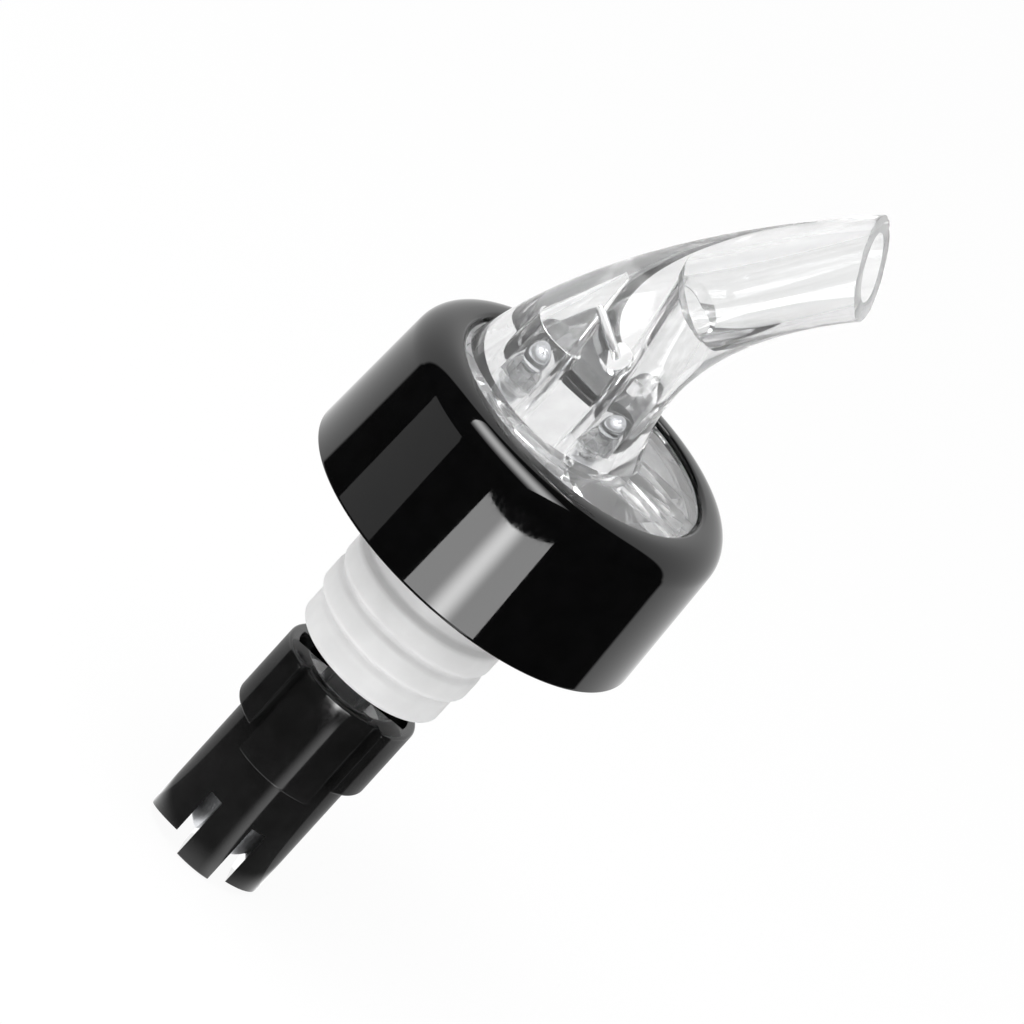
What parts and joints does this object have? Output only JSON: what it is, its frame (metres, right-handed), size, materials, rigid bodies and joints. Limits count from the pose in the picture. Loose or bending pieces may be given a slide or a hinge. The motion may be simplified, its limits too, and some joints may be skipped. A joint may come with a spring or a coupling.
{
  "type": "measured bottle pourer",
  "caption": "Clear bent spout on a flared black collar with a ribbed cork and a slotted timing cup, where a free steel ball closes the stem to measure each pour.",
  "frame": {"origin": "on the neck axis at the middle of the cork's sealing rib", "axes": "+Z along the neck axis toward the spout, +X toward the side the mouth points to"},
  "size_m": [0.0418, 0.0416, 0.1031],
  "materials": {
    "clear_plastic": "clear, polished",
    "black_gloss": "gloss moulded",
    "frosted_plastic": "frosted, soft",
    "tube_plastic": "milky",
    "ball_steel": "polished"
  },
  "bodies": {
    "pourer": {"spout": "clear_plastic", "ball_cage": "clear_plastic", "collar": "black_gloss", "cork": "frosted_plastic", "stem": "clear_plastic", "air_tube": "tube_plastic", "timing_cup": "black_gloss"},
    "metering_ball": {"timing_ball": "ball_steel"},
    "pour_check": {"pour_ball": "ball_steel"},
    "air_check": {"air_ball": "ball_steel"}
  },
  "joints": [
    {"name": "timing_ball_rise", "type": "slide", "parent": "pourer", "child": "metering_ball", "axis": [0, 0, 1], "range_m": [0, 0.0102]},
    {"name": "pour_ball_lift", "type": "slide", "parent": "pourer", "child": "pour_check", "axis": [0, 0, 1], "range_m": [0, 0.004]},
    {"name": "air_ball_lift", "type": "slide", "parent": "pourer", "child": "air_check", "axis": [0, 0, 1], "range_m": [0, 0.0032]}
  ]
}
